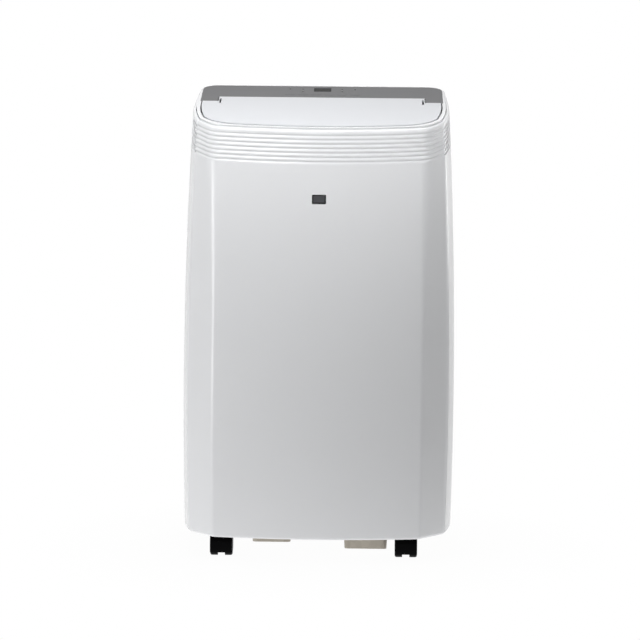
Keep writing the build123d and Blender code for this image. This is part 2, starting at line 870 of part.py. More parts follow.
# Casters: hood with its swivel stem, pressed axle and two free wheels
def caster(name, x, y):
    axle_y = y + caster_trail
    hood_radius = wheel_radius + hood_gap + hood_wall
    half_hood = web_width / 2 + side_gap + wheel_width
    with BuildPart() as hood:
        with BuildSketch(Plane.YZ.offset(x - half_hood)):
            with Locations((axle_y, wheel_radius)):
                Circle(hood_radius)
            with Locations((axle_y, wheel_radius - hood_reach)):
                Rectangle(80, 60, align=(Align.CENTER, Align.MAX), mode=Mode.SUBTRACT)
        extrude(amount=2 * half_hood)
        add(rod_along_z(x, y, collar_radius, wheel_radius, pan_level - swivel_gap))
        for start, end in ((x - half_hood - 1, x - web_width / 2), (x + web_width / 2, x + half_hood + 1)):
            add(rod_along_x(axle_y, wheel_radius, wheel_radius + hood_gap, start, end), mode=Mode.SUBTRACT)
        add(rod_along_z(x, y, stem_radius, pan_level - swivel_gap, pan_level + stem_length))
        axle_hole = rod_along_x(axle_y, wheel_radius, axle_radius, x - web_width, x + web_width)
        add(axle_hole, mode=Mode.SUBTRACT)
    save(hood.part, f"{name}_hood")
    axle_half = web_width / 2 + side_gap + wheel_width - 2
    with BuildPart() as axle:
        add(rod_along_x(axle_y, wheel_radius, axle_radius, x - axle_half, x + axle_half))
    save(axle.part, f"{name}_axle")
    for side, word in ((-1, "left"), (1, "right")):
        inner = x + side * (web_width / 2 + side_gap)
        with BuildPart() as wheel:
            with BuildSketch(Plane.YZ.offset(inner)):
                with Locations((axle_y, wheel_radius)):
                    Circle(wheel_radius)
            extrude(amount=side * wheel_width)
            fillet(wheel.edges().filter_by(GeomType.CIRCLE).sort_by(Axis.X)[-1 if side > 0 else 0], 3)
            hub_end = inner + side * (wheel_width - wheel_cap)
            hub_bore = rod_along_x(axle_y, wheel_radius, axle_radius + wheel_fit, inner, hub_end)
            add(hub_bore, mode=Mode.SUBTRACT)
        save(wheel.part, f"{name}_wheel_{word}")


caster("caster_front_left", caster_left_x, caster_front_y)
caster("caster_front_right", caster_right_x, caster_front_y)
caster("caster_rear_left", caster_left_x, caster_rear_y)
caster("caster_rear_right", caster_right_x, caster_rear_y)


# Intake grilles: slotted plates with a lip outside the rear wall, and their filters
def grille(name, x, z, size):
    slot_rows = int((size[1] - 14) / slot_pitch)
    slot_width = (size[0] - 30) / 3
    with BuildPart() as frame:
        with BuildSketch(Plane.XZ.offset(-body_back)):
            with Locations((x, z)):
                RectangleRounded(size[0] + 2 * grille_lip, size[1] + 2 * grille_lip, 6)
        extrude(amount=-grille_lip_thickness)
        with BuildSketch(Plane.XZ.offset(-body_back)):
            with Locations((x, z)):
                Rectangle(size[0], size[1])
        extrude(amount=grille_depth)
        with BuildSketch(Plane.XZ.offset(-body_back)):
            with Locations((x, z)):
                with GridLocations(slot_width + 5, slot_pitch, 3, slot_rows):
                    Rectangle(slot_width, slot_height)
        extrude(amount=20, both=True, mode=Mode.SUBTRACT)
    save(frame.part, f"{name}_grille")
    with BuildPart() as screen:
        with BuildSketch(Plane.XZ.offset(-(body_back - grille_depth))):
            with Locations((x, z)):
                Rectangle(size[0] - 4, size[1] - 4)
        extrude(amount=filter_thickness)
        with BuildSketch(Plane.XZ.offset(-(body_back - grille_depth - 1))):
            with Locations((x, z)):
                with GridLocations((size[0] - 4) / 4, (size[1] - 4) / 3, 4, 3):
                    Rectangle((size[0] - 4) / 4 - 6, (size[1] - 4) / 3 - 6)
        extrude(amount=filter_thickness, mode=Mode.SUBTRACT)
    save(screen.part, f"{name}_filter")


grille("upper", upper_grille_x, upper_grille_z, upper_grille_size)
grille("lower", lower_grille_x, lower_grille_z, lower_grille_size)

# Hose collar: tube through the rear wall into the exhaust duct, flange outside
with BuildPart() as hose_collar:
    add(rod_along_y(0, hose_z, hose_radius + collar_wall, collar_front, collar_back))
    add(rod_along_y(0, hose_z, collar_flange_radius, body_back, body_back + collar_flange_thickness))
    add(rod_along_y(0, hose_z, hose_radius, collar_front - 1, collar_back + 1), mode=Mode.SUBTRACT)
save(hose_collar.part, "hose_collar")


# Drain caps: rubber cups over the two drain spouts
def drain_cap(name, x, z):
    with BuildPart() as cap:
        add(rod_along_y(x, z, drain_radius + drain_cap_wall, body_back + 0.5, drain_end + 3.4))
        add(rod_along_y(x, z, drain_radius + drain_fit, body_back, drain_end + 0.4), mode=Mode.SUBTRACT)
    save(cap.part, name)


drain_cap("upper_drain_cap", upper_drain_x, upper_port_z)
drain_cap("lower_drain_cap", lower_drain_x, lower_port_z)

# Cord gland: flanged bush in the rear wall
with BuildPart() as cord_gland:
    add(rod_along_y(gland_x, gland_z, gland_radius, body_back - wall - 4, body_back))
    add(rod_along_y(gland_x, gland_z, gland_radius + 4, body_back, body_back + 4))
    add(rod_along_y(gland_x, gland_z, gland_radius + 2, body_back - wall - 4, body_back - wall))
    add(rod_along_y(gland_x, gland_z, gland_bore, body_back - 20, body_back + 10), mode=Mode.SUBTRACT)
save(cord_gland.part, "cord_gland")

# Casing screws, four alike
with BuildPart() as casing_screws:
    for x in (screw_x, -screw_x):
        for z in (lower_port_z, upper_port_z):
            add(rod_along_y(x, z, screw_head_radius, body_back, body_back + 2.2))
            add(rod_along_y(x, z, screw_radius, body_back - 10, body_back))
save(casing_screws.part, "casing_screws")

# Mid deck: drip tray on four legs, with the upper drain spout
with BuildPart() as mid_deck:
    with BuildSketch(Plane.XY.offset(deck_level)):
        add(level_outline(deck_level, 22, wall + deck_fit))
    extrude(amount=deck_rim)
    with BuildSketch(Plane.XY.offset(deck_level + deck_thickness)):
        add(level_outline(deck_level, 24, wall + deck_fit + 2))
    extrude(amount=deck_rim, mode=Mode.SUBTRACT)
    for x, y in (front_leg, rear_leg):
        for side in (1, -1):
            with BuildSketch(Plane.XY.offset(pan_bottom)):
                with Locations((side * x, y)):
                    Rectangle(leg_size, leg_size)
            extrude(amount=deck_level - pan_bottom)
    spout_start = body_back - wall - deck_fit - 1
    add(rod_along_y(upper_drain_x, upper_port_z, drain_radius, spout_start, drain_end))
    spout_bore = rod_along_y(upper_drain_x, upper_port_z, drain_bore, body_back - 20, drain_end + 1)
    add(spout_bore, mode=Mode.SUBTRACT)
    for x in (screw_x, -screw_x):
        screw_hole = rod_along_y(x, upper_port_z, screw_radius + screw_fit, body_back - 20, body_back)
        add(screw_hole, mode=Mode.SUBTRACT)
    suction_x = evaporator_x[0] - pipe_radius - 0.2
    with BuildSketch(Plane.XY.offset(deck_level)):
        with Locations((suction_x, evaporator_y[0] - 20)):
            Circle(pipe_radius + 2)
    extrude(amount=deck_thickness, mode=Mode.SUBTRACT)
save(mid_deck.part, "mid_deck")

# Compressor: welded shell on three feet, with its suction pot alongside
def round_compressor(reach, turn):
    angle = math.radians(turn)
    return compressor_x + reach * math.cos(angle), compressor_y + reach * math.sin(angle)


foot_places = [round_compressor(foot_reach, turn) for turn in (90, 210, 330)]
pot_x, pot_y = round_compressor(pot_offset, pot_turn)
compressor_top = compressor_bottom + compressor_height
with BuildPart() as compressor:
    add(rod_along_z(compressor_x, compressor_y, compressor_radius, compressor_bottom, compressor_top))
    fillet(compressor.edges().filter_by(GeomType.CIRCLE), 22)
    for x, y in foot_places:
        with BuildSketch(Plane.XY.offset(pan_bottom + grommet_height)):
            with BuildLine():
                Polyline((compressor_x - 30, compressor_y), (x, y), (compressor_x + 30, compressor_y))
                Line((compressor_x + 30, compressor_y), (compressor_x - 30, compressor_y))
            make_face()
            with Locations((x, y)):
                Circle(12)
        extrude(amount=foot_thickness)
    add(rod_along_z(pot_x, pot_y, pot_radius, pot_bottom, pot_bottom + pot_height))
    round_edges = compressor.edges().filter_by(GeomType.CIRCLE)
    fillet(round_edges.filter_by(lambda edge: abs(edge.radius - pot_radius) < 0.01), 10)
    add(rod_along_z(compressor_x, compressor_y, 14, compressor_bottom - 2, compressor_bottom + 10))
    with BuildSketch(Plane.XY.offset(pot_bottom + 40)):
        with Locations(((pot_x + compressor_x) / 2, (pot_y + compressor_y) / 2)):
            Rectangle(40, 10, rotation=pot_turn)
    extrude(amount=20)
save(compressor.part, "compressor")

# Compressor grommets, three alike, standing on the pan
with BuildPart() as compressor_grommets:
    for x, y in foot_places:
        add(rod_along_z(x, y, grommet_radius, pan_bottom, pan_bottom + grommet_height))
save(compressor_grommets.part, "compressor_grommets")


# Coils: finned block with rows of return bends on both ends
def coil(name, x_range, y_range, bottom, height):
    with BuildPart() as block:
        add(box_between((x_range[0] + 12, x_range[1] - 12), y_range, (bottom, bottom + height)))
        rows = int((height - 16) / 25)
        for row in range(rows):
            z = bottom + 20 + row * 25
            for share in (0.3, 0.7):
                y = y_range[0] + share * (y_range[1] - y_range[0])
                add(rod_along_x(y, z, 3.5, x_range[0], x_range[1]))
        add(box_between((x_range[0] + 6, x_range[0] + 8), y_range, (bottom, bottom + height)))
        add(box_between((x_range[1] - 8, x_range[1] - 6), y_range, (bottom, bottom + height)))
    save(block.part, name)


coil("condenser", condenser_x, condenser_y, pan_bottom, condenser_height)
coil("evaporator", evaporator_x, evaporator_y, deck_level + deck_thickness, evaporator_height)


# Blower wheel: backplate, hub, end ring and a ring of blades
def fan_wheel(name, x, z, radius, width, y_range):
    back = y_range[0] + scroll_wall + fan_gap
    with BuildPart() as wheel:
        add(rod_along_y(x, z, radius, back, back + 2))
        add(rod_along_y(x, z, hub_radius, back, back + 24))
        with BuildSketch(Plane.XZ.offset(-(back + width - 4))):
            with Locations((x, z)):
                Circle(radius)
                Circle(radius - blade_depth, mode=Mode.SUBTRACT)
        extrude(amount=-4)
        with BuildSketch(Plane.XZ.offset(-back)):
            with Locations((x, z)):
                with PolarLocations(radius - blade_depth / 2 - 0.5, blade_count):
                    Rectangle(blade_depth - 1, blade_thickness, rotation=25)
        extrude(amount=-width)
        add(rod_along_y(x, z, shaft_radius + shaft_fit, back - 1, back + 30), mode=Mode.SUBTRACT)
    save(wheel.part, name)


# Blower motor: can on the scroll's front wall, shaft through to the hub
def fan_motor(name, x, z, y_range):
    front = y_range[0]
    with BuildPart() as motor:
        add(rod_along_y(x, z, motor_radius, front - motor_length, front))
        fillet(motor.edges().filter_by(GeomType.CIRCLE).sort_by(Axis.Y)[0], 8)
        add(rod_along_y(x, z, 18, front, front + scroll_wall + 2))
        add(rod_along_y(x, z, shaft_radius, front, front + scroll_wall + fan_gap + 22))
    save(motor.part, name)


# Scroll housing outline: round chamber with a straight outlet upwards
def scroll_shape(x, z, radius, bottom, top, shrink):
    with BuildSketch() as shape:
        with Locations((x, z)):
            Circle(radius - shrink)
        with Locations((x, z)):
            Rectangle(2 * (radius - shrink), top - z, align=(Align.CENTER, Align.MIN))
        if not shrink:
            with Locations((x, bottom)):
                Rectangle(radius, radius / 2, align=(Align.CENTER, Align.MIN))
    return shape.sketch


# Lower scroll: exhaust blower housing with the duct to the hose collar
lower_place = (lower_fan_x, lower_fan_z, lower_scroll_radius)
duct_right = lower_fan_x + lower_scroll_radius
low_front, low_back = lower_scroll_y
with BuildPart() as lower_scroll:
    with BuildSketch(Plane.XZ.offset(-low_front)):
        add(scroll_shape(*lower_place, pan_bottom, exhaust_bottom + scroll_wall, 0))
    extrude(amount=low_front - low_back)
    duct_z = (exhaust_bottom, deck_level)
    add(box_between((-exhaust_half_width, duct_right), (low_front, exhaust_back), duct_z))
    with BuildSketch(Plane.XZ.offset(-(low_front + scroll_wall))):
        add(scroll_shape(*lower_place, pan_bottom, exhaust_bottom + 10, scroll_wall))
    extrude(amount=low_front - low_back + 2 * scroll_wall, mode=Mode.SUBTRACT)
    duct_x = (scroll_wall - exhaust_half_width, duct_right - scroll_wall)
    duct_y = (low_front + scroll_wall, exhaust_back - scroll_wall)
    duct_z = (exhaust_bottom + scroll_wall, deck_level - scroll_wall)
    add(box_between(duct_x, duct_y, duct_z), mode=Mode.SUBTRACT)
    hose_hole = hose_radius + collar_wall + 0.3
    add(rod_along_y(0, hose_z, hose_hole, exhaust_back - 10, exhaust_back + 1), mode=Mode.SUBTRACT)
    inlet = rod_along_y(lower_fan_x, lower_fan_z, lower_fan_radius - 6, low_back - 10, low_back + 1)
    add(inlet, mode=Mode.SUBTRACT)
    add(rod_along_y(lower_fan_x, lower_fan_z, 18.3, low_front - 1, low_front + 10), mode=Mode.SUBTRACT)
save(lower_scroll.part, "lower_scroll")
fan_wheel("lower_fan", lower_fan_x, lower_fan_z, lower_fan_radius, lower_fan_width, lower_scroll_y)
fan_motor("lower_fan_motor", lower_fan_x, lower_fan_z, lower_scroll_y)

# Upper scroll: supply blower housing, open at the top to the funnel
upper_place = (upper_fan_x, upper_fan_z, upper_scroll_radius)
deck_floor = deck_level + deck_thickness
up_front, up_back = upper_scroll_y
with BuildPart() as upper_scroll:
    with BuildSketch(Plane.XZ.offset(-up_front)):
        add(scroll_shape(*upper_place, deck_floor, upper_scroll_top, 0))
    extrude(amount=up_front - up_back)
    with BuildSketch(Plane.XZ.offset(-(up_front + scroll_wall))):
        add(scroll_shape(*upper_place, deck_floor, upper_scroll_top + 10, scroll_wall))
    extrude(amount=up_front - up_back + 2 * scroll_wall, mode=Mode.SUBTRACT)
    inlet = rod_along_y(upper_fan_x, upper_fan_z, upper_fan_radius - 6, up_back - 10, up_back + 1)
    add(inlet, mode=Mode.SUBTRACT)
    add(rod_along_y(upper_fan_x, upper_fan_z, 18.3, up_front - 1, up_front + 10), mode=Mode.SUBTRACT)
save(upper_scroll.part, "upper_scroll")
fan_wheel("upper_fan", upper_fan_x, upper_fan_z, upper_fan_radius, upper_fan_width, upper_scroll_y)
fan_motor("upper_fan_motor", upper_fan_x, upper_fan_z, upper_scroll_y)

# Electrical box: folded tray on the deck, its cover and the main board inside
with BuildPart() as control_box:
    add(box_between(box_x, box_y, (deck_floor, deck_floor + box_height)))
    add(
        box_between(
            (box_x[0] + box_wall, box_x[1] - box_wall),
            (box_y[0] + box_wall, box_y[1] - box_wall),
            (deck_floor + box_wall, deck_floor + box_height),
        ),
        mode=Mode.SUBTRACT,
    )
save(control_box.part, "control_box")
with BuildPart() as control_box_lid:
    add(box_between(box_x, box_y, (deck_floor + box_height, deck_floor + box_height + box_wall)))
save(control_box_lid.part, "control_box_lid")
with BuildPart() as main_board:
    add(
        box_between(
            (box_x[0] + 12, box_x[0] + 12 + board_thickness),
            (box_y[0] + box_wall + 3, box_y[1] - box_wall - 3),
            (deck_floor + box_wall, deck_floor + box_height - 8),
        )
    )
    add(
        box_between(
            (box_x[0] + 12 + board_thickness, box_x[0] + 36),
            (box_y[0] + 20, box_y[0] + 50),
            (deck_floor + 30, deck_floor + 70),
        )
    )
save(main_board.part, "main_board")


# Refrigerant pipes: bent copper tubes from the compressor to the coils
def pipe(name, points):
    with BuildPart() as tube:
        with BuildLine() as path:
            FilletPolyline(*points, radius=pipe_bend)
        with BuildSketch(Plane(path.line @ 0, z_dir=path.line % 0)):
            Circle(pipe_radius)
        sweep(path=path.line)
    save(tube.part, name)


header_z = pan_bottom + condenser_height - 30
pipe(
    "discharge_pipe",
    (
        (compressor_x, compressor_y, compressor_top + 0.2),
        (compressor_x, compressor_y, compressor_top + 50),
        (condenser_x[0] - pipe_radius - 0.2, compressor_y + 60, compressor_top + 50),
        (condenser_x[0] - pipe_radius - 0.2, (condenser_y[0] + condenser_y[1]) / 2, compressor_top + 50),
        (condenser_x[0] - pipe_radius - 0.2, (condenser_y[0] + condenser_y[1]) / 2, header_z),
    ),
)
pot_top = pot_bottom + pot_height
pipe(
    "suction_pipe",
    (
        (pot_x, pot_y, pot_top + 0.2),
        (pot_x, pot_y, pot_top + 110),
        (suction_x, evaporator_y[0] - 20, pot_top + 110),
        (suction_x, evaporator_y[0] - 20, deck_floor + 80),
        (suction_x, evaporator_y[1] - 6, deck_floor + 80),
    ),
)
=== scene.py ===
import math
import bpy
from mathutils import Vector, Matrix


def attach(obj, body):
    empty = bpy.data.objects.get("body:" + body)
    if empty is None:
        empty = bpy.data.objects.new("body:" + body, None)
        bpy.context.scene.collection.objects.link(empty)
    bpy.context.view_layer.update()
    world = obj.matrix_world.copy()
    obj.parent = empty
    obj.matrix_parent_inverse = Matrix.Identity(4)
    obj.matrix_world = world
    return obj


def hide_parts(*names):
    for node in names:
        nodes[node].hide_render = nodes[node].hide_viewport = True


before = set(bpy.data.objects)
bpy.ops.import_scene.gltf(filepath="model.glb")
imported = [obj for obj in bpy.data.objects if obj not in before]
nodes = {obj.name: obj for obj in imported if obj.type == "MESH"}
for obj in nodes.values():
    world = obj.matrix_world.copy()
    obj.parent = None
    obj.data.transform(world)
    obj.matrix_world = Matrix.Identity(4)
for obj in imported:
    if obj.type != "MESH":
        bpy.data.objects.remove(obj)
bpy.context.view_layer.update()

# Base pan and sheet metal: galvanised steel, drawn in a press and coated beige-grey.
# The pan hangs inside the casing; the deck and the electrical box are folded from the same stock.
# The coating is smooth but slightly mottled, with a dull sheen.


def linear(code):
    parts = [int(code[i:i + 2], 16) / 255 for i in (1, 3, 5)]
    return [c / 12.92 if c <= 0.04045 else ((c + 0.055) / 1.055) ** 2.4 for c in parts] + [1.0]


def add_node(material, kind, links=None, **settings):
    node = material.node_tree.nodes.new(kind)
    for key, value in settings.items():
        if key in node.inputs:
            node.inputs[key].default_value = value
        else:
            setattr(node, key, value)
    for key, source in (links or {}).items():
        material.node_tree.links.new(source, node.inputs[key])
    return node


def new_material(name, colour, roughness, **settings):
    material = bpy.data.materials.new(name)
    material.use_nodes = True
    surface = material.node_tree.nodes["Principled BSDF"]
    surface.inputs["Base Color"].default_value = linear(colour)
    surface.inputs["Roughness"].default_value = roughness
    for key, value in settings.items():
        surface.inputs[key.replace("_", " ")].default_value = value
    place = add_node(material, "ShaderNodeTexCoord").outputs["Object"]
    return material, surface, place


def two_tone(material, surface, share, first, last):
    tone = add_node(material, "ShaderNodeValToRGB", {"Fac": share})
    tone.color_ramp.elements[0].color = linear(first)
    tone.color_ramp.elements[1].color = linear(last)
    material.node_tree.links.new(tone.outputs["Color"], surface.inputs["Base Color"])


def dress(material, *names):
    for name in names:
        nodes[name].data.materials.clear()
        nodes[name].data.materials.append(material)


coated_steel, surface, place = new_material("galvanised_coated_steel", "#B5AEA3", 0.5, Metallic=0.1)
# Spangle of the zinc under the coat, patches of about 12 mm
spangle = add_node(coated_steel, "ShaderNodeTexVoronoi", {"Vector": place}, Scale=80)
two_tone(coated_steel, surface, spangle.outputs["Color"], "#A9A297", "#BDB7AC")
dress(coated_steel, "base_pan", "drip_wells", "mid_deck", "control_box", "control_box_lid")

# Casters: stock twin-wheel castors, moulded in black nylon with plated steel axles.
# The hood's stem turns in a socket of the pan; the wheels run free on the axle.
# Nylon is nearly black with a soft broad sheen and a faint moulded grain.


def add_relief(material, surface, pattern, strength, depth):
    relief = add_node(
        material, "ShaderNodeBump", {"Height": pattern.outputs["Fac"]},
        Strength=strength, Distance=depth,
    )
    material.node_tree.links.new(relief.outputs["Normal"], surface.inputs["Normal"])


def vary_roughness(material, surface, pattern, low, high):
    dull = add_node(
        material, "ShaderNodeMapRange", {"Value": pattern.outputs["Fac"]},
        **{"To Min": low, "To Max": high},
    )
    material.node_tree.links.new(dull.outputs["Result"], surface.inputs["Roughness"])


black_nylon, surface, place = new_material("black_nylon", "#030304", 0.4, IOR=1.12)
# Spark-eroded grain, drawn at 1.2 mm so that it shows
grain = add_node(black_nylon, "ShaderNodeTexNoise", {"Vector": place}, Scale=850, Detail=2)
add_relief(black_nylon, surface, grain, strength=0.12, depth=0.0004)
plated_steel, surface, place = new_material("zinc_plated_steel", "#B9BBBD", 0.3, Metallic=1.0)
# Plating that is shinier and duller in spots of about 3 mm
streak = add_node(plated_steel, "ShaderNodeTexNoise", {"Vector": place}, Scale=300, Detail=3)
vary_roughness(plated_steel, surface, streak, 0.22, 0.42)


def rounded_copy(node, name, width, body, material):
    # The node's own shape with its moulded edges eased, in place of the sharp one
    bpy.ops.object.select_all(action="DESELECT")
    piece = nodes[node].copy()
    piece.data = nodes[node].data.copy()
    piece.name = name
    bpy.context.scene.collection.objects.link(piece)
    piece.hide_set(False)
    piece.select_set(True)
    bpy.context.view_layer.objects.active = piece
    bpy.ops.object.mode_set(mode="EDIT")
    bpy.ops.mesh.select_all(action="SELECT")
    bpy.ops.mesh.remove_doubles(threshold=0.000002)
    bpy.ops.object.mode_set(mode="OBJECT")
    easing = piece.modifiers.new("eased_edges", "BEVEL")
    easing.width = width
    easing.segments = 3
    easing.limit_method = "ANGLE"
    easing.angle_limit = math.radians(40)
    bpy.ops.object.modifier_apply(modifier="eased_edges")
    bpy.ops.object.shade_smooth_by_angle(angle=math.radians(45))
    faces = piece.modifiers.new("flat_faces", "WEIGHTED_NORMAL")
    faces.keep_sharp = True
    faces.weight = 100
    bpy.ops.object.modifier_apply(modifier="flat_faces")
    piece.data.materials.clear()
    piece.data.materials.append(material)
    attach(piece, body)
    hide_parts(node)


for corner in ("front_left", "front_right", "rear_left", "rear_right"):
    dress(black_nylon, f"caster_{corner}_wheel_left", f"caster_{corner}_wheel_right")
    dress(plated_steel, f"caster_{corner}_axle")
    hood = f"caster_{corner}_hood"
    rounded_copy(
        hood, hood + "_moulding", 0.0008, f"caster_{corner}", black_nylon,
    )

# Refrigerant circuit: enamelled compressor on rubber grommets, copper pipes, aluminium coils.
# It stands on the pan behind the front panel and is out of sight once the casing is on.
# Enamel shines softly, rubber is dull, copper is warm and streaked, the coils show close fins.
black_enamel, surface, place = new_material("black_enamel", "#1B1C1E", 0.28, IOR=1.5)
# Orange peel of sprayed enamel, about 3 mm
peel = add_node(black_enamel, "ShaderNodeTexNoise", {"Vector": place}, Scale=300, Detail=1)
add_relief(black_enamel, surface, peel, strength=0.15, depth=0.0005)
dress(black_enamel, "compressor")
black_rubber, surface, place = new_material("moulded_rubber", "#26262A", 0.75, IOR=1.52)
# Dry bloom on the rubber, in spots of about 4 mm
bloom = add_node(black_rubber, "ShaderNodeTexNoise", {"Vector": place}, Scale=250, Detail=4)
vary_roughness(black_rubber, surface, bloom, 0.6, 0.9)
dress(black_rubber, "compressor_grommets", "upper_drain_cap", "lower_drain_cap", "cord_gland")
drawn_copper, surface, place = new_material("drawn_copper", "#C47A55", 0.32, Metallic=1.0)
# Handling stains on the copper, about 17 mm long
stain = add_node(drawn_copper, "ShaderNodeTexNoise", {"Vector": place}, Scale=60, Detail=4)
two_tone(drawn_copper, surface, stain.outputs["Fac"], "#A8623F", "#D58C66")
dress(drawn_copper, "discharge_pipe", "suction_pipe")
fin_stock, surface, place = new_material("aluminium_fins", "#C9CCCF", 0.38, Metallic=1.0)
# Fins stand 1.8 mm apart across the coil
fins = add_node(
    fin_stock, "ShaderNodeTexWave", {"Vector": place},
    Scale=560 / math.pi, bands_direction="X",
)
add_relief(fin_stock, surface, fins, strength=0.8, depth=0.0008)
dress(fin_stock, "condenser", "evaporator")

# Blowers and boards: scrolls and wheels in dark ABS, motors in pressed cans, boards of laminate.
# Screwed to the deck and the pan, all inside the casing.
# Plain matt plastic, satin zinc and a green solder mask.
dark_abs, surface, place = new_material("dark_abs", "#3A3B3E", 0.55, IOR=1.53)
# Flow of the plastic, a sheen that drifts over about 25 mm
flow = add_node(dark_abs, "ShaderNodeTexNoise", {"Vector": place}, Scale=40, Detail=3)
vary_roughness(dark_abs, surface, flow, 0.48, 0.64)
dress(dark_abs, "lower_scroll", "lower_fan", "upper_scroll", "upper_fan")
motor_can, surface, place = new_material("pressed_motor_can", "#8C9094", 0.4, Metallic=0.9)
# Marks of the press, a sheen that changes over about 8 mm
draw_mark = add_node(motor_can, "ShaderNodeTexNoise", {"Vector": place}, Scale=120, Detail=3)
vary_roughness(motor_can, surface, draw_mark, 0.3, 0.5)
dress(motor_can, "lower_fan_motor", "upper_fan_motor", "louver_motor")
solder_mask, surface, place = new_material("solder_mask", "#1F5A38", 0.35, IOR=1.5)
# Tracks under the mask, a faint block pattern of about 11 mm
tracks = add_node(solder_mask, "ShaderNodeTexBrick", {"Vector": place}, Scale=90)
tracks.inputs["Color1"].default_value = linear("#1F5A38")
tracks.inputs["Color2"].default_value = linear("#256641")
tracks.inputs["Mortar"].default_value = linear("#2F7A50")
solder_mask.node_tree.links.new(tracks.outputs["Color"], surface.inputs["Base Color"])
dress(solder_mask, "display_board", "main_board")
dress(plated_steel, "casing_screws", "louver_shaft")

# Rear casing, grilles and filters: white ABS mouldings, and nets of nylon in the two intakes.
# The casing meets the front panel at a seam behind the front corners and is screwed on from behind.
# White with a very slight cool cast, a broad soft sheen and a grain felt more than seen.
white_abs, surface, place = new_material("white_abs", "#EDEEF0", 0.25, IOR=1.53)
# Satin texture of the mould, drawn at 0.9 mm so that it shows
grain = add_node(white_abs, "ShaderNodeTexNoise", {"Vector": place}, Scale=1100, Detail=2)
add_relief(white_abs, surface, grain, strength=0.05, depth=0.0003)
# Flow of the plastic makes the sheen drift over about 120 mm
drift = add_node(white_abs, "ShaderNodeTexNoise", {"Vector": place}, Scale=8, Detail=2)
vary_roughness(white_abs, surface, drift, 0.22, 0.28)
dress(white_abs, "hose_collar", "upper_grille", "lower_grille")
rounded_copy("rear_casing", "rear_casing_moulding", 0.0005, "unit", white_abs)
filter_net, surface, place = new_material("nylon_filter_net", "#4A4C50", 0.7, IOR=1.5)
# Net of 1.2 mm mesh
net = add_node(filter_net, "ShaderNodeTexChecker", {"Vector": place}, Scale=1 / 0.0012)
net.inputs["Color1"].default_value = linear("#3A3C40")
net.inputs["Color2"].default_value = linear("#5A5C60")
filter_net.node_tree.links.new(net.outputs["Color"], surface.inputs["Base Color"])
dress(filter_net, "upper_filter", "lower_filter")

# Front panel: one bowed moulding of white ABS with two soft corners and seven grooves at the top.
# It is 3 mm thick, turns in at the skirt and over the rim, and hooks into the rear casing.
# A flat grid is bent to the outline at each level, so that light runs over it unbroken. In mm.
bow_centre = Vector((0, 582.5))
bow_radius = 760
side_centre = Vector((-236.67, -3.5))
side_radius = 456.67
seam = Vector((208, -107.5))
seam_edge_y = -105.0
seam_rounding = 34
least_seam_rounding = 6
widest_height = 255
belly_radius = 7900
low_crease_x = 167
crease_spread = 21
spread_start = 400
spread_height = 390
crease_rounding = 12.6
rounding_slope = 0.0838
rounding_curve = 0.000081
roof_front_y = -165
roof_front_height = 689
roof_rise = math.tan(math.radians(11))


def meeting(centre, radius, point, along, sign):
    to_point = point - centre
    half = to_point.dot(along)
    reach = math.sqrt(half**2 - to_point.length_squared + radius**2)
    return point + along * (sign * reach - half)


def panel_place(part, share, height, inset):
    # One point of the right half: bow, rounded crease, flat corner or rounded seam
    inset = inset + (height - widest_height) ** 2 / (2 * belly_radius)
    over = max(0, height - spread_start)
    crease_x = low_crease_x + crease_spread * (over / spread_height) ** 1.5
    crease = Vector((crease_x, bow_centre.y - math.sqrt(bow_radius**2 - crease_x**2)))
    along = (seam - crease).normalized()
    inward = Vector((-along.y, along.x))
    rounding = crease_rounding + rounding_slope * over + rounding_curve * over**2 - inset / 2
    start = crease + inward * (inset + rounding)
    centre = meeting(bow_centre, bow_radius - inset - rounding, start, along, -1)
    bow_end = bow_centre + (centre - bow_centre).normalized() * (bow_radius - inset)
    if part == "bow":
        x = bow_end.x * share
        return x, bow_centre.y - math.sqrt((bow_radius - inset) ** 2 - x**2)
    flat_start = centre - inward * rounding
    if part == "crease":
        first = math.atan2(bow_end.y - centre.y, bow_end.x - centre.x)
        last = math.atan2(-inward.y, -inward.x)
        turn = first + (last - first) * share
        return centre.x + rounding * math.cos(turn), centre.y + rounding * math.sin(turn)
    soft = max(seam_rounding - inset, least_seam_rounding)
    start = seam + inward * (inset + soft)
    soft_centre = meeting(side_centre, side_radius - inset - soft, start, along, 1)
    flat_end = soft_centre - inward * soft
    if part == "flat":
        return tuple(flat_start.lerp(flat_end, share))
    y = flat_end.y + (seam_edge_y - flat_end.y) * share
    side_start = side_centre + (soft_centre - side_centre).normalized() * (side_radius - inset)
    if y < side_start.y:
        return soft_centre.x + math.sqrt(soft**2 - (y - soft_centre.y) ** 2), y
    return side_centre.x + math.sqrt((side_radius - inset) ** 2 - (y - side_centre.y) ** 2), y


right_half = [("bow", 0.0)]
for part, steps in (("bow", 56), ("crease", 12), ("flat", 7), ("seam", 8)):
    right_half += [(part, step / steps) for step in range(1, steps + 1)]
columns = [(-1, *place) for place in reversed(right_half[1:])]
columns += [(1, *place) for place in right_half]

